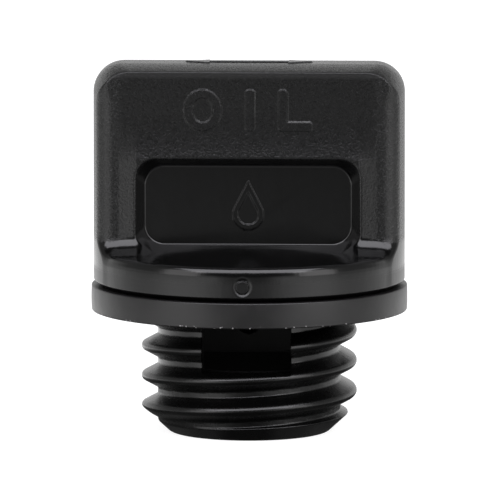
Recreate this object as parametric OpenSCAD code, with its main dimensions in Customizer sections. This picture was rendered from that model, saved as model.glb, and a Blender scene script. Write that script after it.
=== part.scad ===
// Oil filler cap: a one-piece moulded cap (bar grip, round flange and hollow
// threaded plug) with a flat sealing ring on the neck above the thread.
// The origin is the centre of the plug's open end. +Z runs up the axis to the
// top of the grip, and the bar of the grip runs along X. Millimetres.

/* [Grip] */
// Height from the plug's end to the flat top of the grip
cap_h = 61.3; // [58:0.1:64]
// Thickness of the bar, front face to back face
grip_t = 15.7; // [15:0.1:17]
// Radius of the grip's upper corners, seen from the front
grip_corner_r = 4.8; // [4.2:0.1:6]
// Rounding along the top edges of the bar
grip_top_r = 0.4; // [0.3:0.1:1]
// Radius of the gentle crown across the top of the bar
top_crown_r = 35; // [25:1:50]
// Rounding of the bar's four upright edges
grip_edge_r = 2.15; // [1.8:0.05:2.6]
// How far the face swells towards the edge of the pocket
grip_swell = 0.7; // [0.2:0.1:0.8]
// Radius of the fillet between the grip and the flange
grip_fillet_r = 3.7; // [3:0.1:4]
// Height of the raised turning mark on the top
mark_h = 0.2; // [0.1:0.05:0.4]

/* [Pocket] */
// Width of the pocket's floor
pocket_w = 34.2; // [30:0.2:35]
// Height of the pocket's floor
pocket_h = 13.2; // [12:0.2:14]
// Corner radius of the pocket's floor
pocket_r = 3.4; // [2.8:0.1:4]
// Distance from the bar's middle plane to the pocket's floor
pocket_floor = 5; // [4.4:0.1:5.6]
// Sideways lean of the pocket's walls for each millimetre of depth
pocket_draft = 0.41; // [0.3:0.01:0.55]
// Width over which the foot's fillet is cut back in front of the pocket
foot_gap = 32.4; // [30:0.2:33]

/* [Flange] */
// Diameter of the flange
flange_d = 51.4; // [50.8:0.1:52]
// Height of the face that the sealing ring lies against
seat_z = 24.5; // [24:0.1:25]
// Height of the flange's top at its edge
flange_top_z = 30.2; // [29.8:0.1:30.4]
// Radius of the broad rounding below the flange's upper edge
flange_top_r = 2.2; // [1.8:0.1:2.6]
// Height of the open groove between the rim and the sealing ring
rim_groove = 0.9; // [0.5:0.1:1.1]
// Radius of the injection point's stub on the rim
gate_r = 1.07; // [0.8:0.01:1.3]

/* [Plug and thread] */
// Diameter over the thread's crests
thread_d = 35.6; // [35.2:0.1:36]
// Diameter at the thread's roots, which is also the neck's
root_d = 30.2; // [29.8:0.1:30.4]
// Axial distance from one crest to the next
pitch = 5; // [4.9:0.05:5.1]
// Width of the flat on a crest
crest_w = 1.05; // [0.9:0.05:1.2]
// Radius of the plug's end face, where the lead-in cone begins
end_r = 13.1; // [12.6:0.1:13.5]
// Length of the lead-in cone along the axis
lead_l = 4.3; // [4:0.1:4.6]
// Diameter of the plug's hollow
bore_d = 21.5; // [20.5:0.1:22.5]
// Height of the hollow's roof
bore_top = 27; // [26:0.1:28]

/* [Window and web] */
// Width of the window through the front of the plug's wall
win_w = 14.6; // [13.6:0.1:15.6]
// Lower edge of the window
win_z0 = 11.3; // [10.8:0.1:11.8]
// Upper edge of the window, hidden behind the sealing ring
win_z1 = 21.5; // [20.6:0.1:22.5]
// Thickness of the web that crosses the hollow
web_t = 3; // [2.4:0.1:3.6]
// Lower edge of the web
web_z0 = 13.2; // [12.8:0.1:13.8]
// Radius of the small round hole through the web
web_hole_r = 1.8; // [1.4:0.1:2]
// Height of that hole's centre
web_hole_z = 18.1; // [17.6:0.1:18.4]

/* [Sealing ring] */
// Outer diameter of the ring
ring_d = 52.3; // [52.1:0.1:53]
// Inner diameter of the ring
ring_bore = 30.9; // [30.6:0.1:31.2]
// Thickness of the ring
ring_t = 4.2; // [4:0.1:4.3]
// Rounding of the ring's upper outer edge
ring_edge_r = 0.5; // [0.3:0.1:0.8]

/* [Hidden] */

flange_r = flange_d / 2;
thread_r = thread_d / 2;
root_r = root_d / 2;
half_t = grip_t / 2;
pocket_z0 = 31.55;                      // lower edge of the pocket's floor
pocket_z1 = pocket_z0 + pocket_h;       // upper edge of the pocket's floor
mouth_hw = pocket_w / 2 + (half_t - pocket_floor) * pocket_draft;
mouth_z1 = pocket_z1 + (half_t - pocket_floor) * pocket_draft;
flange_fall = 0.066;                    // fall of the flange's top, per mm outwards
bar_r = flange_r - 0.02;                // the bar's ends follow the flange's rim
thread_top = seat_z - ring_t - 0.2;     // the thread stops just under the ring

// the flange's upper edge: a broad rounding up to 43 degrees, then a 0.4 mm one onto the top
rim_a = 43;
rim_in = flange_r - (flange_top_r - 0.4) * (1 - cos(rim_a)) - 0.4;
rim_z = flange_top_z - 0.4 - (flange_top_r - 0.4) * sin(rim_a);

// height of the flange's top at a distance r from the axis
function top_z(r) = flange_top_z + flange_fall * (rim_in - min(r, rim_in));

// swell of the face towards the pocket: a flat slope beside it, a gentle one above it
function swell(x, z) =
    let (dx = min(1, max(0, abs(x) - mouth_hw) / 3.3),
         dz = min(1, max(0, z - mouth_z1) / 8))
    grip_swell * (1 - dx) * (1 - dz) * (1 - dz);

// points across the face, from the middle to where the edge rounding begins
face_steps = [0, 9, 15, 17.2, 18.27, 19.1, 20.1, 21, 21.57];

// one quarter of the bar's section, from the middle of the front face to the
// middle of the end: h is the half thickness and re the radius of the end
function quarter(h, re) =
    let (cx = sqrt(pow(re - grip_edge_r, 2) - pow(h - grip_edge_r, 2)),
         k = min(1, cx / 22.2),
         a1 = atan2(h - grip_edge_r, cx))
    concat(
        [for (s = face_steps) [s * k, -h, 1]],
        [for (i = [0:4]) let (a = -90 + i * (90 - a1) / 4)
            [cx + grip_edge_r * cos(a), -(h - grip_edge_r) + grip_edge_r * sin(a), 0]],
        [for (i = [1:3]) let (a = -a1 * (1 - i / 3)) [re * cos(a), re * sin(a), 0]]);

// the whole section, counter-clockwise
function section(h, re) =
    let (q = quarter(h, re), n = len(q))
    concat(q,
        [for (i = [n - 2:-1:0]) [q[i][0], -q[i][1], q[i][2]]],
        [for (i = [1:n - 1]) [-q[i][0], -q[i][1], q[i][2]]],
        [for (i = [n - 2:-1:1]) [-q[i][0], q[i][1], q[i][2]]]);

// levels up the bar: [height above the flange's top, fixed height, half thickness, end radius]
fillet_levels = [for (a = [75, 60, 45, 30, 15, 0])
    [-0.15 + grip_fillet_r * (1 - sin(a)), 0, half_t + grip_fillet_r * (1 - cos(a)), bar_r]];
side_levels = [for (z = [37.5, 41, 44, mouth_z1, 48, 50, 52, 54]) [0, z, half_t, bar_r]];
// the crown falls away on both sides of a flat strip, which is 4.6 mm wide
function crown_drop(h) = top_crown_r - sqrt(top_crown_r * top_crown_r - h * h);
edge_y = half_t - grip_top_r;           // centre of the rounding along the top's edge
edge_z = cap_h + crown_drop(2.3) - top_crown_r
    + sqrt(pow(top_crown_r - grip_top_r, 2) - edge_y * edge_y);
edge_a = acos(edge_y / (top_crown_r - grip_top_r));
// [height, half thickness] up the corner, round the edge and over the crown
top_profile = concat(
    [for (s = [0, 0.25, 0.42, 0.55]) [cap_h - grip_corner_r + s * grip_corner_r, half_t]],
    [for (i = [0:4]) let (a = edge_a * i / 4) [edge_z + grip_top_r * sin(a), edge_y + grip_top_r * cos(a)]],
    [for (h = [6.2, 5, 3.8, 2.3]) [cap_h + crown_drop(2.3) - crown_drop(h), h]]);
crown_levels = [for (p = top_profile)
    let (d = min(grip_corner_r, p[0] - (cap_h - grip_corner_r)),
         e = grip_corner_r - sqrt(max(0, pow(grip_corner_r, 2) - d * d)) * 0.98)
    [0, p[0], p[1], bar_r - min(e, grip_corner_r * 0.9)]];
bar_levels = concat([[0, 26, fillet_levels[0][2], bar_r - 0.6]],
    fillet_levels, side_levels, crown_levels);

module bar() {
    rings = [for (l = bar_levels) [for (p = section(l[2], l[3]))
        let (z = l[1] > 0 ? l[1] : top_z(sqrt(p[0] * p[0] + p[1] * p[1])) + l[0],
             s = p[2] * swell(p[0], z) * (l[1] == 26 ? 0 : 1))
        [p[0], p[1] + (p[1] < 0 ? -s : s), z]]];
    n = len(rings[0]);
    m = len(rings);
    e = n / 4;                          // the cap faces fan out from the end of the bar
    pts = [for (r = rings) for (p = r) p];
    polyhedron(points = pts, faces = concat(
        [[for (i = [0:n - 1]) (i + e) % n]],
        [for (k = [0:m - 2]) for (i = [0:n - 1]) let (j = (i + 1) % n)
            [k * n + i, (k + 1) * n + i, (k + 1) * n + j]],
        [for (k = [0:m - 2]) for (i = [0:n - 1]) let (j = (i + 1) % n)
            [k * n + i, (k + 1) * n + j, k * n + j]],
        [[for (i = [n - 1:-1:0]) (m - 1) * n + (i + e + 1) % n]]));
}

// the space of one pocket, on the front; its floor lies at y = -pocket_floor, and
// its lower wall falls outwards as the flange's top does
module pocket() {
    reach = 7.5;
    sp = reach * pocket_draft;
    hull() {
        for (sx = [-1, 1]) for (c = [[pocket_z0 + pocket_r, -reach * flange_fall], [pocket_z1 - pocket_r, sp]]) {
            translate([sx * (pocket_w / 2 - pocket_r), -pocket_floor, c[0]])
                rotate([90, 0, 0]) cylinder(r = pocket_r, h = 0.01, $fn = 32);
            translate([sx * (pocket_w / 2 - pocket_r + sp), -pocket_floor - reach, c[0] + c[1]])
                rotate([90, 0, 0]) cylinder(r = pocket_r, h = 0.01, $fn = 32);
        }
    }
}

// in front of the pocket the foot's fillet is cut back to the flange's top
module foot_clearing() {
    translate([-foot_gap / 2, -(half_t + 8), flange_top_z + 0.1]) cube([foot_gap, 8.3, 2.6]);
}

// the flange, turned, with its seat for the ring at z = seat_z
module flange() {
    fr = flange_r;
    rotate_extrude($fn = 128) polygon(concat(
        [[0, seat_z], [fr - 1.1, seat_z], [fr - 1.1, seat_z + rim_groove],
            [fr - 0.15, seat_z + rim_groove], [fr, seat_z + rim_groove + 0.15]],
        [for (i = [0:4]) let (a = i * rim_a / 4) [fr - flange_top_r + flange_top_r * cos(a), rim_z + flange_top_r * sin(a)]],
        [for (i = [1:4]) let (a = rim_a + i * (90 - rim_a) / 4) [rim_in + 0.4 * cos(a), flange_top_z - 0.4 + 0.4 * sin(a)]],
        [[8, top_z(8)], [0, top_z(8)]]));
}

// right-hand helical ridge, a little taller than the finished thread
module ridge() {
    seg = 40;
    slope = ((pitch - 2 * crest_w) / 2) / (thread_r - root_r);
    prof = [[root_r - 0.9, -(crest_w / 2 + slope * (thread_r - root_r + 0.1))],
            [root_r - 0.1, -(crest_w / 2 + slope * (thread_r - root_r + 0.1))],
            [thread_r + 0.5, -(crest_w / 2 - slope * 0.5)],
            [thread_r + 0.5, crest_w / 2 - slope * 0.5],
            [root_r - 0.1, crest_w / 2 + slope * (thread_r - root_r + 0.1)],
            [root_r - 0.9, crest_w / 2 + slope * (thread_r - root_r + 0.1)]];
    first = -62;                           // steps of the helix from the crest at +X
    last = 110;                            // it ends inside the front window
    pts = [for (t = [first:last]) for (p = prof)
        let (a = t * 360 / seg)
        [p[0] * cos(a), p[0] * sin(a), 6.75 + pitch * t / seg + p[1]]];
    m = len(prof);
    n = last - first + 1;
    polyhedron(points = pts, faces = concat(
        [[for (i = [m - 1:-1:0]) i]],
        [for (k = [0:n - 2]) for (i = [0:m - 1]) let (j = (i + 1) % m)
            [k * m + i, (k + 1) * m + j, (k + 1) * m + i]],
        [for (k = [0:n - 2]) for (i = [0:m - 1]) let (j = (i + 1) % m)
            [k * m + i, k * m + j, (k + 1) * m + j]],
        [[for (i = [0:m - 1]) (n - 1) * m + i]]));
}

// the threaded plug and neck, trimmed to the crest cylinder and the lead-in cone
module plug() {
    intersection() {
        union() {
            translate([0, 0, -1]) cylinder(r = root_r, h = seat_z + 2, $fn = 128);
            intersection() {
                ridge();
                translate([0, 0, -4]) cylinder(r = thread_r + 3, h = thread_top + 4, $fn = 64);
            }
        }
        rotate_extrude($fn = 128) polygon([[0, 0], [end_r, 0],
            [thread_r, lead_l], [thread_r, seat_z + 3], [0, seat_z + 3]]);
    }
}

// raised double-ended turning arrow on the top of the grip
module turning_mark() {
    translate([0, 0, cap_h - 0.3]) linear_extrude(0.3 + mark_h) {
        translate([-7, -0.45]) square([14, 0.9]);
        polygon([[6.5, -1.9], [10.5, 0], [6.5, 1.9]]);
        polygon([[-6.5, 1.9], [-10.5, 0], [-6.5, -1.9]]);
    }
}

module cap_body() {
    color([0.035, 0.035, 0.037])
    difference() {
        union() {
            difference() {
                union() {
                    plug();
                    flange();
                    difference() {
                        bar();
                        foot_clearing();
                        mirror([0, 1, 0]) foot_clearing();
                    }
                    turning_mark();
                    // stub left by the injection point
                    translate([-0.3, -(flange_r - 0.6), 27.1]) rotate([90, 0, 0]) cylinder(r = gate_r, h = 0.85, $fn = 48);
                }
                translate([0, 0, -1]) cylinder(d = bore_d, h = bore_top + 1, $fn = 96);
            }
            // the web across the hollow, in one piece with the roof and the wall
            translate([-(bore_d / 2 + 1), -web_t / 2, web_z0]) cube([bore_d + 2, web_t, bore_top - web_z0 + 1]);
        }
        pocket();
        mirror([0, 1, 0]) pocket();
        // window through the front of the plug's wall, up to the web
        translate([-win_w / 2, -(thread_r + 1), win_z0])
            cube([win_w, thread_r + 1 - web_t / 2, win_z1 - win_z0]);
        // small round hole through the web
        translate([0, web_t, web_hole_z]) rotate([90, 0, 0]) cylinder(r = web_hole_r, h = 2 * web_t, $fn = 48);
    }
}

module sealing_ring() {
    r = ring_edge_r;
    color([0.045, 0.043, 0.044])
    rotate_extrude($fn = 128) polygon(concat(
        [[ring_bore / 2, seat_z - ring_t], [ring_d / 2 - 0.15, seat_z - ring_t], [ring_d / 2, seat_z - ring_t + 0.15]],
        [for (a = [0:15:90]) [ring_d / 2 - r + r * cos(a), seat_z - r + r * sin(a)]],
        [[ring_bore / 2, seat_z]]));
}

cap_body();
sealing_ring();
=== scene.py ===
import math

import bpy
import numpy as np
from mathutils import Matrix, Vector

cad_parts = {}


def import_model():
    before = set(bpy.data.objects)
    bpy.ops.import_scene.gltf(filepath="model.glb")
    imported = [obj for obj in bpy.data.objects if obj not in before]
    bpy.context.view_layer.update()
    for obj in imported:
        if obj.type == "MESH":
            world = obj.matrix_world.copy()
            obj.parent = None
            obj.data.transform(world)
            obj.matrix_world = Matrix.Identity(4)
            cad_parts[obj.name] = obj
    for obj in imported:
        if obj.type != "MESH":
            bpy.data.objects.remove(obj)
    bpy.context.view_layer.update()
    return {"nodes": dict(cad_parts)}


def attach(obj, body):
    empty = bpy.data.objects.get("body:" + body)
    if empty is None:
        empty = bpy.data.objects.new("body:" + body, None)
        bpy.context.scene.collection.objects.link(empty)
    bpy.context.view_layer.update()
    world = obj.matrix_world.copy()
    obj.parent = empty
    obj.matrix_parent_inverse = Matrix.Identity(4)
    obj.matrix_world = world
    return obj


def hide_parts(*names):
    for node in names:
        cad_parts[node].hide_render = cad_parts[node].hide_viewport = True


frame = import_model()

# The black screw-in oil filler cap. One moulding (grip, flange, hollow threaded plug) and one rubber ring.
# The moulding is meshed from a smooth field in millimetres, with the same sizes as the CAD nodes, so that every
# edge has its small moulded radius. Lengths below are millimetres unless a name ends in _m.

F32 = np.float32


# ---------------------------------------------------------------- field helpers
def both(a, b, r):
    """Intersection of two solids with the edge between them rounded by r."""
    return np.minimum(np.maximum(a, b) + r, 0) + np.sqrt(np.maximum(a + r, 0) ** 2 + np.maximum(b + r, 0) ** 2) - r


def either(a, b, r):
    """Union of two solids with a fillet of radius r between them."""
    return np.maximum(np.minimum(a, b), r) - np.sqrt(np.maximum(r - a, 0) ** 2 + np.maximum(r - b, 0) ** 2)


def ramp(v, a, b):
    t = np.clip((v - a) / (b - a), 0, 1)
    return t * t * (3 - 2 * t)


def box2(u, v, cu, cv, hu, hv, r):
    """Rounded rectangle in two dimensions."""
    qu, qv = np.abs(u - cu) - (hu - r), np.abs(v - cv) - (hv - r)
    return np.sqrt(np.maximum(qu, 0) ** 2 + np.maximum(qv, 0) ** 2) + np.minimum(np.maximum(qu, qv), 0) - r


# ---------------------------------------------------------------- sizes
CAP_H, HALF_T, CORNER_R, TOP_R, EDGE_R, FILLET_R, SWELL, TOP_CROWN = 61.3, 7.85, 4.8, 0.14, 2.15, 3.7, 0.7, 35.0
FLANGE_R, SEAT_Z, RIM_Z, RIM_TOP_R, RIM_GROOVE, CROWN = 25.7, 24.5, 30.2, 2.2, 0.9, 0.066
RIM_IN = 24.83                              # where the flange's top begins, inside the rim's two roundings
P_FLOOR, P_HW, P_Z0, P_Z1, P_R, DRAFT = 5.0, 17.1, 31.52, 44.75, 3.4, 0.41
MOUTH_HW, MOUTH_Z1 = P_HW + (HALF_T - P_FLOOR) * DRAFT, P_Z1 + (HALF_T - P_FLOOR) * DRAFT
CREST_R, ROOT_R, PITCH, CREST_W = 17.8, 15.1, 5.0, 1.05
SLOPE = ((PITCH - 2 * CREST_W) / 2) / (CREST_R - ROOT_R)
THREAD_TOP = 20.1
RING_R, RING_BORE, RING_T = 26.15, 15.45, 4.2


def swell(x, z):
    t = 1 - np.maximum(np.abs(x) - MOUTH_HW, 0) / 3.05
    dz = np.minimum(np.maximum(z - MOUTH_Z1, 0) / 8, 1)
    return SWELL * 0.5 * (t + np.sqrt(t * t + 0.0006)) * (1 - dz) ** 2


def letters(x, z):
    """The word OIL in plain strokes, as a two-dimensional field."""
    a = np.sqrt(((x + 7.45) / 3.1) ** 2 + ((z - 54.2) / 3.4) ** 2)
    b = np.sqrt(((x + 7.45) / 1.7) ** 2 + ((z - 54.2) / 2.05) ** 2)
    o = np.maximum((a - 1) * 3.15, (1 - b) * 1.8)
    i = box2(x, z, 0.4, 54.2, 0.82, 3.4, 0.72)
    stem = box2(x, z, 5.8, 54.2, 0.76, 3.4, 0.66)
    foot = box2(x, z, 7.85, 51.54, 2.8, 0.74, 0.5)
    return np.minimum(np.minimum(o, i), np.minimum(stem, foot))


def droplet(x, z):
    """A plain drop outline for the panel, as a two-dimensional field."""
    def drop(k):
        cz, r, tip = 36.6, 2.55 * k, 36.6 + 5.6 * k
        d = np.sqrt(x * x + (z - cz) ** 2) - r
        s = r / (tip - cz)                        # sine of the half angle at the tip
        c = math.sqrt(1 - s * s)
        side = np.abs(x) * c + (z - tip) * s
        cone = np.maximum(side, (cz + r * s) - z)
        return np.minimum(d, cone)
    return np.maximum(drop(1.0), -drop(0.66))


def body_field(x, y, z):
    """Signed distance to the one-piece moulding, negative inside."""
    r = np.sqrt(x * x + y * y)
    ay = np.abs(y)

    # grip and flange: a slab and the flange's top joined by a fillet, cut to the outline seen from the front
    s = swell(x, z)
    cone = RIM_Z + CROWN * (RIM_IN - np.minimum(r, RIM_IN))
    # the pocket: its lower wall runs from a level line at the floor out into the flange's top
    w = DRAFT * (ay - P_FLOOR)
    low = (P_Z0 - cone) * np.clip((ay - P_FLOOR) / (HALF_T - P_FLOOR), 0, 1.4)
    pocket = box2(x, z, 0.0, (P_Z0 + P_Z1 + w - low) / 2, P_HW + w, (P_Z1 - P_Z0 + w + low) / 2, P_R) * 0.9
    pocket = both(pocket, P_FLOOR - ay, 0.22)
    face = both(ay - HALF_T - s, -pocket, 0.3)
    top = (z - cone) * 0.9978
    rim = both(r - FLANGE_R, z - (RIM_Z + 0.573) - 0.12 * np.maximum(FLANGE_R - RIM_TOP_R - r, 0), RIM_TOP_R)
    foot = 0.05 + (FILLET_R - 0.05) * ramp(np.abs(x), 15.2, 17.6)     # the fillet is cut back before the pocket
    f = either(face, both(top, rim, 0.28), foot)
    crown = (z - CAP_H + np.maximum(y * y / (2 * TOP_CROWN) - 0.075, 0)) / np.sqrt(1 + np.minimum(y * y, 64) / TOP_CROWN ** 2)
    profile = both(r - FLANGE_R, crown, CORNER_R)
    rho = 0.5 + (EDGE_R - 0.5) * ramp(z, 30.0, 33.4) + (TOP_R - EDGE_R) * ramp(z, 55, 59.5)
    f = both(f, profile, rho)
    f = both(f, SEAT_Z - z, 0.1)
    f = both(f, (RIM_GROOVE * (r - FLANGE_R + 1.4) - 1.4 * (z - SEAT_Z)) / math.hypot(RIM_GROOVE, 1.4), 0.1)

    # plug: neck cylinder and helical ridge, cut to the lead-in cone
    turn = np.arctan2(y, x) / (2 * math.pi)
    turn = np.where(turn < 0, turn + 1, turn)
    k = np.round((z - 6.75) / PITCH - turn)
    u = z - 6.75 - PITCH * (turn + k)
    flank = (np.abs(u) - (CREST_W / 2 + SLOPE * (CREST_R - r))) * (1 / math.sqrt(1 + SLOPE * SLOPE))
    ridge = both(flank, r - CREST_R, 0.45)
    ridge = np.maximum(ridge, (turn + k - 2.75) * (2 * math.pi * 16.5))
    ridge = both(ridge, z - THREAD_TOP, 0.3)
    core = np.maximum(r - ROOT_R, z - (SEAT_Z + 1.5))
    p = either(core, ridge, 0.14)
    cone = (4.3 * (r - 13.1) - 4.7 * z) / 6.3702
    p = both(p, cone, 0.22)
    p = both(p, -z, 0.3)
    f = np.minimum(f, p)

    # hollow with the web across it, and the windows up to the web
    bore = both(r - 10.75, z - 27.0, 0.6)
    web = both(ay - 1.5, 13.2 - z, 0.25)
    hollow = both(bore, -web, 0.35)
    window = np.maximum(box2(x, z, 0.0, 16.4, 7.3, 5.1, 0.3), y + 1.5)
    hole = np.maximum(np.sqrt(x * x + (z - 18.1) ** 2) - 1.8, ay - 4)
    cut = np.minimum(np.minimum(hollow, window), hole)
    f = both(f, -cut, 0.14)

    # raised letters on the front, a drop on the front pocket's floor, the turning arrow on the top
    word = both(letters(x, z), -y - HALF_T - s - 0.18, 0.08)
    word = np.maximum(word, y + 6.5)
    f = either(f, word, 0.1)
    drop = both(droplet(x, z), -y - P_FLOOR - 0.35, 0.1)
    drop = np.maximum(drop, y + 4)
    f = either(f, drop, 0.1)
    ax = np.abs(x)
    head = np.maximum((1.9 * (ax - 10.5) + 4 * ay) / 4.428, 6.5 - ax)
    mark = np.minimum(head, np.maximum(ay - 0.45, ax - 7))
    mark = np.maximum(both(mark, z - (CAP_H + 0.2), 0.08), CAP_H - 1.0 - z)
    f = either(f, mark, 0.08)

    # injection point: a shallow dished recess in the rim with a broken-off stub in it
    g = np.sqrt((x + 0.3) ** 2 + (z - 27.1) ** 2)
    dish = np.maximum(np.sqrt(g * g + (y + FLANGE_R + 2.6) ** 2) - 3.18, y + 20)
    f = both(f, -dish, 0.12)
    stub = both(g - 1.05, -y - 25.66, 0.1)
    stub = np.maximum(stub, y + 24.0)
    return either(f, stub, 0.08)


# ---------------------------------------------------------------- field to mesh
def net(field, lo, hi, h, b=8):
    """Closed quad mesh of the field's zero surface, from blocks of b cells of size h along the surface."""
    lo = np.array(lo, float)
    n = np.ceil((np.array(hi) - lo) / (h * b)).astype(int)
    grid = np.stack(np.meshgrid(*[np.arange(k) for k in n], indexing="ij"), -1).reshape(-1, 3)
    mid = lo + (grid + 0.5) * (b * h)
    near = np.abs(field(*[mid[:, i].astype(F32) for i in range(3)])) < b * h * 0.87 * 1.6 + 0.1
    blocks = grid[near]
    dims = n * b + 2
    key = lambda c: (c[..., 0].astype(np.int64) * dims[1] + c[..., 1]) * dims[2] + c[..., 2]
    corner = np.array([[i, j, k] for i in (0, 1) for j in (0, 1) for k in (0, 1)])
    edges = [(p, q) for p in range(8) for q in range(p + 1, 8) if np.abs(corner[p] - corner[q]).sum() == 1]
    ids, points, quads = [], [], []
    step = np.arange(b + 1)
    for at in range(0, len(blocks), 1200):
        base = blocks[at:at + 1200] * b
        ax = [((base[:, i, None] + step) * h + lo[i]).astype(F32) for i in range(3)]
        v = field(ax[0][:, :, None, None], ax[1][:, None, :, None], ax[2][:, None, None, :])
        v = np.broadcast_to(v, (len(base), b + 1, b + 1, b + 1))
        inside = v < 0
        count = sum(inside[:, i:b + i, j:b + j, k:b + k].astype(np.int8) for i, j, k in corner)
        m, ci, cj, ck = np.nonzero((count > 0) & (count < 8))
        cell = np.stack([ci, cj, ck], -1)
        val = np.stack([v[m, ci + i, cj + j, ck + k] for i, j, k in corner], -1).astype(float)
        total, hits = np.zeros((len(m), 3)), np.zeros(len(m))
        for p, q in edges:
            a, c = val[:, p], val[:, q]
            cross = (a < 0) != (c < 0)
            t = np.where(cross, a / np.where(cross, a - c, 1), 0)[:, None]
            total += cross[:, None] * (corner[p] + t * (corner[q] - corner[p]))
            hits += cross
        ids.append(key(base[m] + cell))
        points.append(lo + (base[m] + cell + total / hits[:, None]) * h)
        for axis in range(3):
            lead = [slice(0, b)] * 3
            tail = list(lead)
            tail[axis] = slice(1, b + 1)
            a, c = inside[(slice(None), *lead)], inside[(slice(None), *tail)]
            m, ei, ej, ek = np.nonzero(a != c)
            g = base[m] + np.stack([ei, ej, ek], -1)
            d1, d2 = np.eye(3, dtype=int)[(axis + 1) % 3], np.eye(3, dtype=int)[(axis + 2) % 3]
            ring = np.stack([key(g - d1 - d2), key(g - d2), key(g), key(g - d1)], -1)
            flip = c[m, ei, ej, ek]
            ring[flip] = ring[flip][:, ::-1]
            quads.append(ring)
    ids, points, quads = np.concatenate(ids), np.concatenate(points), np.concatenate(quads)
    order = np.argsort(ids)
    ids, points = ids[order], points[order]
    return points, np.searchsorted(ids, quads)


def gradient(field, p, e=0.02):
    g = np.empty_like(p)
    for i in range(3):
        a, c = p.copy(), p.copy()
        a[:, i] += e
        c[:, i] -= e
        g[:, i] = (field(*a.T) - field(*c.T)) / (2 * e)
    return g


def settle(field, p, reach, rounds=3):
    """Moves points onto the zero surface, none further than reach."""
    start = p.copy()
    for _ in range(rounds):
        g = gradient(field, p)
        p = p - (field(*p.T) / np.maximum((g * g).sum(1), 0.2))[:, None] * g
        move = p - start
        far = np.sqrt((move * move).sum(1))
        p = start + move * np.minimum(1, reach / np.maximum(far, 1e-9))[:, None]
    return p


def new_mesh(name, points_mm, faces):
    me = bpy.data.meshes.new(name)
    faces = np.ascontiguousarray(faces, dtype=np.int32)
    me.vertices.add(len(points_mm))
    me.vertices.foreach_set("co", (np.asarray(points_mm) * 0.001).astype(F32).ravel())
    me.loops.add(faces.size)
    me.loops.foreach_set("vertex_index", faces.ravel())
    me.polygons.add(len(faces))
    me.polygons.foreach_set("loop_start", np.arange(0, faces.size, faces.shape[1], dtype=np.int32))
    me.update(calc_edges=True)
    me.polygons.foreach_set("use_smooth", np.ones(len(me.polygons), bool))
    me.validate()
    return me


def link(name, me):
    o = bpy.data.objects.new(name, me)
    bpy.context.scene.collection.objects.link(o)
    return o


def coords(me):
    co = np.empty(len(me.vertices) * 3, F32)
    me.vertices.foreach_get("co", co)
    return co.reshape(-1, 3).astype(float) * 1000


def reduce_to(o, triangles):
    """Collapses edges down to a number of triangles."""
    quads = len(o.data.polygons)
    mod = o.modifiers.new("reduce", "DECIMATE")
    mod.ratio = min(1.0, triangles / (2.0 * quads))
    dg = bpy.context.evaluated_depsgraph_get()
    made = bpy.data.meshes.new_from_object(o.evaluated_get(dg))
    o.modifiers.clear()
    old, o.data = o.data, made
    bpy.data.meshes.remove(old)


def smooth_by_field(me, field):
    p = settle(field, coords(me), 0.06, 2)
    me.vertices.foreach_set("co", (p * 0.001).astype(F32).ravel())
    n = gradient(field, p, 0.03)
    n /= np.maximum(np.sqrt((n * n).sum(1)), 1e-9)[:, None]
    me.polygons.foreach_set("use_smooth", np.ones(len(me.polygons), bool))
    me.normals_split_custom_set_from_vertices(n.tolist())
    me.update()


# ---------------------------------------------------------------- the moulding
H = 0.21
pts, faces = net(body_field, (-26.7, -26.7, -0.9), (26.7, 26.7, 62.6), H)
pts = settle(body_field, pts, 0.6 * H)
body = link("cap_moulding", new_mesh("cap_moulding", pts, faces))
reduce_to(body, 196000)
smooth_by_field(body.data, body_field)


# ---------------------------------------------------------------- the rubber ring
def ring_mesh():
    """Turned section with a faint barrel, an uneven upper edge and a fine moulding line low on the wall."""
    n = 420
    z0, z1 = SEAT_Z - RING_T, SEAT_Z
    prof = [(RING_BORE, z1 - 0.15), (RING_BORE, z0 + 0.15), (RING_BORE + 0.15, z0)]
    prof += [(v, z0) for v in np.linspace(17, 25.6, 5)]
    prof += [(25.85, z0), (25.98, z0 + 0.04), (26.06, z0 + 0.13), (26.075, z0 + 0.24), (26.06, z0 + 0.33)]
    prof += [(26.075 + 0.055 * math.sin(math.pi * t) ** 0.7, z0 + 0.42 + t * (RING_T - 0.60)) for t in np.linspace(0.03, 1, 12)]
    prof += [(25.895 + 0.18 * math.cos(a), z1 - 0.18 + 0.18 * math.sin(a)) for a in np.radians(np.linspace(8, 90, 6))]
    prof += [(v, z1) for v in (25.2, 24.0, 20.0, RING_BORE + 0.15)]
    prof = np.array(prof)
    a = np.arange(n) * (2 * math.pi / n)
    wave = 0.018 * np.sin(3 * a + 0.7) + 0.012 * np.sin(7 * a + 2.1) + 0.006 * np.sin(19 * a)
    outer = ramp(prof[:, 0], 24.5, 25.9)
    rr = prof[None, :, 0] + wave[:, None] * outer[None, :]
    rr = np.minimum(rr, RING_R - 0.005)
    zz = np.broadcast_to(prof[None, :, 1], rr.shape)
    p = np.stack([rr * np.cos(a)[:, None], rr * np.sin(a)[:, None], zz], -1).reshape(-1, 3)
    m = len(prof)
    i, j = np.meshgrid(np.arange(n), np.arange(m), indexing="ij")
    i2, j2 = (i + 1) % n, (j + 1) % m
    q = np.stack([i * m + j, i * m + j2, i2 * m + j2, i2 * m + j], -1).reshape(-1, 4)
    return new_mesh("rubber_ring", p, q[:, ::-1])


ring = link("rubber_ring", ring_mesh())


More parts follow.
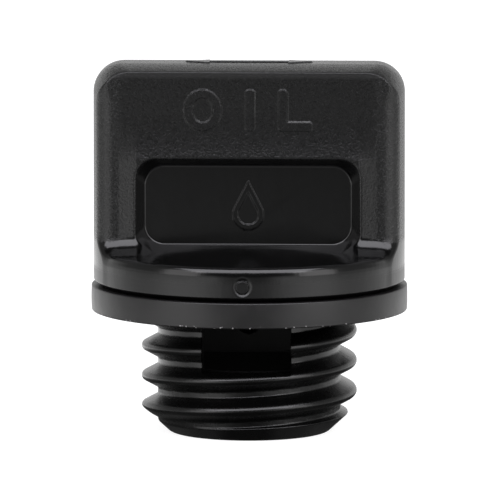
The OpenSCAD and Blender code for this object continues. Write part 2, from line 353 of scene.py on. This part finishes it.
# ---------------------------------------------------------------- materials
class Nodes:
    """Short calls for building a node tree."""

    def __init__(self, name):
        self.mat = bpy.data.materials.new(name)
        self.mat.use_nodes = True
        self.tree = self.mat.node_tree
        self.tree.nodes.clear()

    def add(self, kind, **values):
        node = self.tree.nodes.new(kind)
        for key, value in values.items():
            if hasattr(node, key):
                setattr(node, key, value)
        return node

    def put(self, socket, value):
        if isinstance(value, bpy.types.NodeSocket):
            self.tree.links.new(value, socket)
        else:
            socket.default_value = value

    def math(self, op, a, b=0.0, c=None, clamp=False):
        node = self.add("ShaderNodeMath", operation=op, use_clamp=clamp)
        self.put(node.inputs[0], a)
        self.put(node.inputs[1], b)
        if c is not None:
            self.put(node.inputs[2], c)
        return node.outputs[0]

    def vec(self, op, a, b=None, scale=None):
        node = self.add("ShaderNodeVectorMath", operation=op)
        self.put(node.inputs[0], a)
        if b is not None:
            self.put(node.inputs[1], b)
        if scale is not None:
            self.put(node.inputs["Scale"], scale)
        return node.outputs["Value"] if op in ("LENGTH", "DOT_PRODUCT") else node.outputs["Vector"]

    def ramp(self, v, a, b, lo=0.0, hi=1.0, smooth=True):
        node = self.add("ShaderNodeMapRange", interpolation_type="SMOOTHSTEP" if smooth else "LINEAR")
        for k, value in zip(("Value", "From Min", "From Max", "To Min", "To Max"), (v, a, b, lo, hi)):
            self.put(node.inputs[k], value)
        return node.outputs[0]

    def mix(self, t, a, b):
        node = self.add("ShaderNodeMix", data_type="FLOAT")
        self.put(node.inputs[0], t)
        self.put(node.inputs[2], a)
        self.put(node.inputs[3], b)
        return node.outputs[0]

    def mix_colour(self, t, a, b):
        node = self.add("ShaderNodeMix", data_type="RGBA")
        self.put(node.inputs[0], t)
        self.put(node.inputs[6], a)
        self.put(node.inputs[7], b)
        return node.outputs[2]

    def noise(self, vector, scale, detail=2.0, rough=0.5, distortion=0.0):
        node = self.add("ShaderNodeTexNoise")
        self.put(node.inputs["Vector"], vector)
        node.inputs["Scale"].default_value = scale
        node.inputs["Detail"].default_value = detail
        node.inputs["Roughness"].default_value = rough
        node.inputs["Distortion"].default_value = distortion
        return node.outputs["Fac"]

    def voronoi(self, vector, scale, feature="F1", out="Distance", smooth=None):
        node = self.add("ShaderNodeTexVoronoi", feature=feature)
        self.put(node.inputs["Vector"], vector)
        node.inputs["Scale"].default_value = scale
        return node.outputs[out]

    def xyz(self, vector):
        node = self.add("ShaderNodeSeparateXYZ")
        self.put(node.inputs[0], vector)
        return node.outputs

    def combine(self, x, y, z):
        node = self.add("ShaderNodeCombineXYZ")
        for socket, value in zip(node.inputs, (x, y, z)):
            self.put(socket, value)
        return node.outputs[0]

    def bump(self, height, distance_m, strength=1.0, normal=None):
        node = self.add("ShaderNodeBump")
        node.inputs["Strength"].default_value = strength
        node.inputs["Distance"].default_value = distance_m
        self.put(node.inputs["Height"], height)
        if normal is not None:
            self.put(node.inputs["Normal"], normal)
        return node.outputs[0]

    def surface(self, colour, roughness, normal, **constants):
        node = self.add("ShaderNodeBsdfPrincipled")
        self.put(node.inputs["Base Color"], colour)
        self.put(node.inputs["Roughness"], roughness)
        if normal is not None:
            self.put(node.inputs["Normal"], normal)
        for key, value in constants.items():
            node.inputs[key].default_value = value
        out = self.add("ShaderNodeOutputMaterial")
        self.tree.links.new(node.outputs[0], out.inputs[0])
        return node

    def position_mm(self):
        tc = self.add("ShaderNodeTexCoord")
        return self.vec("SCALE", tc.outputs["Object"], scale=1000.0)


def plastic():
    n = Nodes("moulded_black_plastic")
    p = n.position_mm()
    x, y, z = n.xyz(p)
    ax, ay = n.math("ABSOLUTE", x), n.math("ABSOLUTE", y)

    # where the spark-eroded grain is: the outside of the grip, down to a ragged border on the foot's fillet
    qx = n.math("MAXIMUM", n.math("SUBTRACT", ax, MOUTH_HW - P_R), 0.0)
    qz = n.math("ABSOLUTE", n.math("SUBTRACT", z, (P_Z0 + MOUTH_Z1) / 2))
    qz = n.math("MAXIMUM", n.math("SUBTRACT", qz, (MOUTH_Z1 - P_Z0) / 2 - P_R), 0.0)
    away = n.math("SUBTRACT", n.math("SQRT", n.math("ADD", n.math("MULTIPLY", qx, qx), n.math("MULTIPLY", qz, qz))), P_R)
    outside = n.math("MAXIMUM", n.ramp(away, 0.0, 0.12), n.ramp(ax, MOUTH_HW, MOUTH_HW + 0.1))
    rag = n.noise(p, 2.6, 3.0, 0.7)
    border = n.math("ADD", n.ramp(ax, 18.3, 23.0, 33.75, 32.3, False), n.math("MULTIPLY", n.math("SUBTRACT", rag, 0.5), 2.6))
    above = n.ramp(n.math("SUBTRACT", z, border), 0.0, 0.14)
    grain = n.math("MULTIPLY", outside, above)

    # grain: rounded pits of about a third of a millimetre over a finer tooth
    warp = n.vec("ADD", p, n.vec("SCALE", n.combine(n.noise(p, 1.3), n.noise(n.vec("ADD", p, (7.3, 1.1, 3.9)), 1.3), n.noise(n.vec("ADD", p, (2.7, 9.2, 5.5)), 1.3)), scale=0.5))
    coarse = n.noise(warp, 2.6, 2.0, 0.6)
    fine = n.noise(p, 7.0, 2.0, 0.6)
    pits = n.math("ADD", n.math("MULTIPLY", coarse, 0.8), n.math("MULTIPLY", fine, 0.2))
    # smooth walls: slow flow marks and faint polishing lines
    flow = n.noise(n.vec("MULTIPLY", p, (0.55, 0.55, 0.16)), 1.0, 3.0, 0.55)
    skin = n.noise(p, 9.0, 1.0, 0.5)
    smooth = n.math("ADD", n.math("MULTIPLY", flow, 0.8), n.math("MULTIPLY", skin, 0.05))

    deep = n.math("MULTIPLY", grain, n.ramp(ax, 20.3, 21.8, 1.0, 1.6))
    b1 = n.bump(n.math("MULTIPLY", pits, deep), 0.00009, 1.0)
    b2 = n.bump(n.math("MULTIPLY", smooth, n.math("SUBTRACT", 1.0, grain)), 0.00004, 1.0, b1)

    # roughness: grain dull, a little glossier low on the sides; flange, pocket and fillets glossy; rim and thread between
    low = n.ramp(z, 34.0, 50.0, 0.26, 0.28)
    edge = n.math("MULTIPLY", n.ramp(z, 59.2, 59.9), n.ramp(z, 60.5, 60.7, 0.16, 0.0))
    low = n.math("ADD", low, n.math("MULTIPLY", edge, n.ramp(ay, 7.0, 7.3)))
    rim = n.math("MULTIPLY", n.ramp(z, 27.2, 28.6, 1.0, 0.0), n.ramp(z, 24.3, 24.6))
    rim = n.math("MULTIPLY", rim, 0.14)
    thread = n.ramp(z, 20.5, 24.0, 0.10, 0.0)
    inner = n.math("SQRT", n.math("ADD", n.math("MULTIPLY", x, x), n.math("MULTIPLY", y, y)))
    inner = n.math("MULTIPLY", n.ramp(inner, 12.2, 13.2, 1.0, 0.0), n.ramp(z, 24.0, 27.5, 1.0, 0.0))
    sm = n.math("ADD", n.math("ADD", 0.17, rim), thread)
    sm = n.math("ADD", sm, n.math("MULTIPLY", n.math("SUBTRACT", flow, 0.5), 0.06))
    sm = n.math("ADD", sm, n.math("MULTIPLY", inner, 0.38))
    rough = n.mix(grain, sm, n.math("ADD", low, n.math("MULTIPLY", n.math("SUBTRACT", coarse, 0.5), 0.12)))
    # the grain's colour is darker where its bump is low: painted shade in the hollows of the grain
    grain_pit_shade = n.mix_colour(n.ramp(pits, 0.35, 0.65), (0.0008, 0.0008, 0.0008, 1), (0.0020, 0.0020, 0.0020, 1))
    colour = n.mix_colour(grain, (0.0010, 0.0010, 0.0010, 1), grain_pit_shade)
    n.surface(colour, rough, b2, IOR=1.5)
    return n.mat


def rubber():
    n = Nodes("seal_ring_rubber")
    p = n.position_mm()
    x, y, z = n.xyz(p)
    mottle = n.noise(p, 0.35, 4.0, 0.6)
    fine = n.noise(p, 5.0, 2.0, 0.6)
    speck_cells = n.voronoi(p, 1.5)
    # light grey specks painted in a thin band along the moulding line low on the wall, also raised a little by the
    # bump
    low = n.math("MULTIPLY", n.ramp(z, 20.25, 20.4), n.ramp(z, 20.5, 20.75, 1.0, 0.0))
    speck = n.math("MULTIPLY", n.ramp(speck_cells, 0.13, 0.24, 1.0, 0.0), low)
    h = n.math("ADD", n.math("MULTIPLY", fine, 0.25), n.math("ADD", n.math("MULTIPLY", mottle, 0.6), n.math("MULTIPLY", speck, 1.2)))
    rough = n.math("ADD", 0.30, n.math("MULTIPLY", mottle, 0.14))
    colour = n.mix_colour(n.ramp(mottle, 0.3, 0.7), (0.0040, 0.0039, 0.0040, 1), (0.0062, 0.0058, 0.0060, 1))
    colour = n.mix_colour(speck, colour, (0.32, 0.31, 0.31, 1))
    n.surface(colour, rough, n.bump(h, 0.00005, 1.0), IOR=1.5)
    return n.mat


PLASTIC, RUBBER = plastic(), rubber()
body.data.materials.clear()
body.data.materials.append(PLASTIC)
ring.data.materials.append(RUBBER)
for name, material in (("cap_body", PLASTIC), ("sealing_ring", RUBBER)):
    node = frame["nodes"][name]
    node.data.materials.clear()
    node.data.materials.append(material)

for piece, node, slot in ((body, "cap_body", "moulded_plastic"), (ring, "sealing_ring", "seal_rubber")):
    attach(piece, "root")
    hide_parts(node)


# ---------------------------------------------------------------- stage: pale floor, soft light, camera
def floor():
    s = 6.0
    me = bpy.data.meshes.new("floor")
    me.from_pydata([(-s, -s, -0.00002), (s, -s, -0.00002), (s, s, -0.00002), (-s, s, -0.00002)], [], [(0, 1, 2, 3)])
    o = link("floor", me)
    n = Nodes("pale_floor")
    geo = n.add("ShaderNodeNewGeometry")
    diff = n.add("ShaderNodeBsdfDiffuse")
    diff.inputs["Color"].default_value = (0.3, 0.3, 0.3, 1)
    em = n.add("ShaderNodeEmission")
    em.inputs["Strength"].default_value = 0.9
    both_ = n.add("ShaderNodeAddShader")
    n.tree.links.new(diff.outputs[0], both_.inputs[0])
    n.tree.links.new(em.outputs[0], both_.inputs[1])
    clear = n.add("ShaderNodeBsdfTransparent")
    mix = n.add("ShaderNodeMixShader")
    out = n.add("ShaderNodeOutputMaterial")
    n.tree.links.new(geo.outputs["Backfacing"], mix.inputs[0])
    n.tree.links.new(both_.outputs[0], mix.inputs[1])
    n.tree.links.new(clear.outputs[0], mix.inputs[2])
    n.tree.links.new(mix.outputs[0], out.inputs[0])
    me.materials.append(n.mat)
    o.visible_glossy = False
    o.visible_diffuse = False
    o.visible_shadow = False
    return o


YAW = 1.9                                  # the photo looks at the front from slightly to the right, in degrees


def softbox(name, azimuth, elevation, half_w, half_h, radiance, colour, distance=2.2):
    """Area light facing the part. half_w and half_h are degrees as seen from the part."""
    w, h = 2 * distance * math.tan(math.radians(half_w)), 2 * distance * math.tan(math.radians(half_h))
    d = bpy.data.lights.new(name, "AREA")
    d.shape, d.size, d.size_y = "RECTANGLE", w, h
    d.energy = radiance * math.pi * w * h
    d.color = colour
    o = bpy.data.objects.new(name, d)
    bpy.context.scene.collection.objects.link(o)
    a, e = math.radians(azimuth + YAW), math.radians(elevation)
    way = Vector((math.sin(a) * math.cos(e), -math.cos(a) * math.cos(e), math.sin(e)))
    o.location = Vector((0, 0, 0.03)) + way * distance
    o.rotation_euler = way.to_track_quat("Z", "Y").to_euler()
    o.visible_camera = False
    return o


def world():
    """White surroundings with a dim side behind the camera."""
    w = bpy.data.worlds.new("studio")
    bpy.context.scene.world = w
    w.use_nodes = True
    n = Nodes.__new__(Nodes)
    n.mat, n.tree = w, w.node_tree
    n.tree.nodes.clear()
    tc = n.add("ShaderNodeTexCoord")
    x, y, z = n.xyz(n.vec("NORMALIZE", tc.outputs["Generated"]))
    front = n.math("MULTIPLY", y, -1.0)
    low = n.ramp(front, 0.86, 0.99, 0.80, 0.04)
    back = n.ramp(front, -0.75, -0.2, 1.0, 0.32)
    back = n.math("MINIMUM", back, n.ramp(z, 0.20, 0.48, 1.0, 0.26))
    dim = n.ramp(front, 0.70, 0.90, 0.32, 0.06)
    high = n.math("MINIMUM", back, dim)
    high = n.mix(n.ramp(front, -0.5, 0.5), back, dim)
    high = n.math("MULTIPLY", high, n.ramp(z, 0.72, 0.93, 1.0, 0.12))
    level = n.mix(n.ramp(z, -0.02, 0.13), low, high)
    level = n.mix(n.ramp(z, -0.9, -0.3), 0.42, level)
    bg = n.add("ShaderNodeBackground")
    bg.inputs["Color"].default_value = (1, 1, 1, 1)
    n.tree.links.new(level, bg.inputs["Strength"])
    white = n.add("ShaderNodeBackground")
    white.inputs["Color"].default_value = (1, 1, 1, 1)
    path = n.add("ShaderNodeLightPath")
    mix = n.add("ShaderNodeMixShader")
    out = n.add("ShaderNodeOutputWorld")
    n.tree.links.new(path.outputs["Is Camera Ray"], mix.inputs[0])
    n.tree.links.new(bg.outputs[0], mix.inputs[1])
    n.tree.links.new(white.outputs[0], mix.inputs[2])
    n.tree.links.new(mix.outputs[0], out.inputs[0])


def glow():
    """Painted reflection of the floor, seen by reflections only: an emitting sheet, brightest a little way out and at
    the sides, with the part's shadow painted as a dark patch right under it and a painted darker patch just to its
    right.
    """
    s = 3.0
    me = bpy.data.meshes.new("painted_floor_reflection")
    me.from_pydata([(-s, -s, -0.00006), (s, -s, -0.00006), (s, s, -0.00006), (-s, s, -0.00006)], [], [(0, 1, 2, 3)])
    o = link("painted_floor_reflection", me)
    n = Nodes("painted_floor_reflection")
    tc = n.add("ShaderNodeTexCoord")
    x, y, z = n.xyz(tc.outputs["Object"])
    d = n.math("SQRT", n.math("ADD", n.math("MULTIPLY", x, x), n.math("MULTIPLY", y, y)))
    front = n.math("DIVIDE", n.math("MULTIPLY", y, -1.0), n.math("MAXIMUM", d, 0.001))
    # painted shadow: the emission drops to a few hundredths right under the part, where the floor lies in its shade,
    # and is twice as bright a little further out
    near = n.math("MULTIPLY", n.ramp(d, 0.17, 0.30, 2.0, 1.0), n.ramp(d, 0.030, 0.095, 0.06, 1.0))
    side = n.ramp(front, 0.90, 0.985, 0.80, 0.25)
    side = n.math("MULTIPLY", side, n.math("MINIMUM", n.ramp(front, 0.25, 0.60, 0.62, 1.0), 1.0))
    # painted shade: a darker patch of emission just to the right of the part
    painted_shade_patch = n.math("MULTIPLY", n.ramp(x, -0.06, 0.04), n.ramp(x, 0.05, 0.14, 0.26, 0.0))
    near = n.math("MULTIPLY", near, n.math("SUBTRACT", 1.06, painted_shade_patch))
    level = n.math("MULTIPLY", n.mix(n.ramp(front, 0.1, -0.6), side, 0.75), near)
    geo = n.add("ShaderNodeNewGeometry")
    em = n.add("ShaderNodeEmission")
    n.tree.links.new(level, em.inputs["Strength"])
    clear = n.add("ShaderNodeBsdfTransparent")
    mix = n.add("ShaderNodeMixShader")
    out = n.add("ShaderNodeOutputMaterial")
    n.tree.links.new(geo.outputs["Backfacing"], mix.inputs[0])
    n.tree.links.new(em.outputs[0], mix.inputs[1])
    n.tree.links.new(clear.outputs[0], mix.inputs[2])
    n.tree.links.new(mix.outputs[0], out.inputs[0])
    me.materials.append(n.mat)
    o.visible_camera = False
    o.visible_diffuse = False
    o.visible_shadow = False
    return o


floor()
glow()
world()
softbox("soft_top", 0, 53, 41, 26.5, 3.8, (0.99, 0.98, 1.04))
softbox("soft_left", -52, 15, 15, 17, 1.6, (1.01, 0.99, 1.0))
softbox("soft_right", 52, 15, 15, 17, 2.0, (1.01, 0.99, 1.0))

cam_data = bpy.data.cameras.new("camera")
cam = bpy.data.objects.new("camera", cam_data)
bpy.context.scene.collection.objects.link(cam)
elev, yaw, dist = math.radians(7.4), math.radians(YAW), 2.3
way = Vector((math.sin(yaw) * math.cos(elev), -math.cos(yaw) * math.cos(elev), math.sin(elev)))
cam.location = Vector((0.00012, 0.0, 0.03002)) + way * dist
cam.rotation_euler = way.to_track_quat("Z", "Y").to_euler()
cam_data.sensor_width = 36
cam_data.lens = 36 * dist / 0.08265
cam_data.clip_start, cam_data.clip_end = 0.05, 50
bpy.context.scene.camera = cam
bpy.context.scene.view_settings.view_transform = "Standard"
bpy.context.scene.view_settings.look = "None"

bpy.context.view_layer.update()
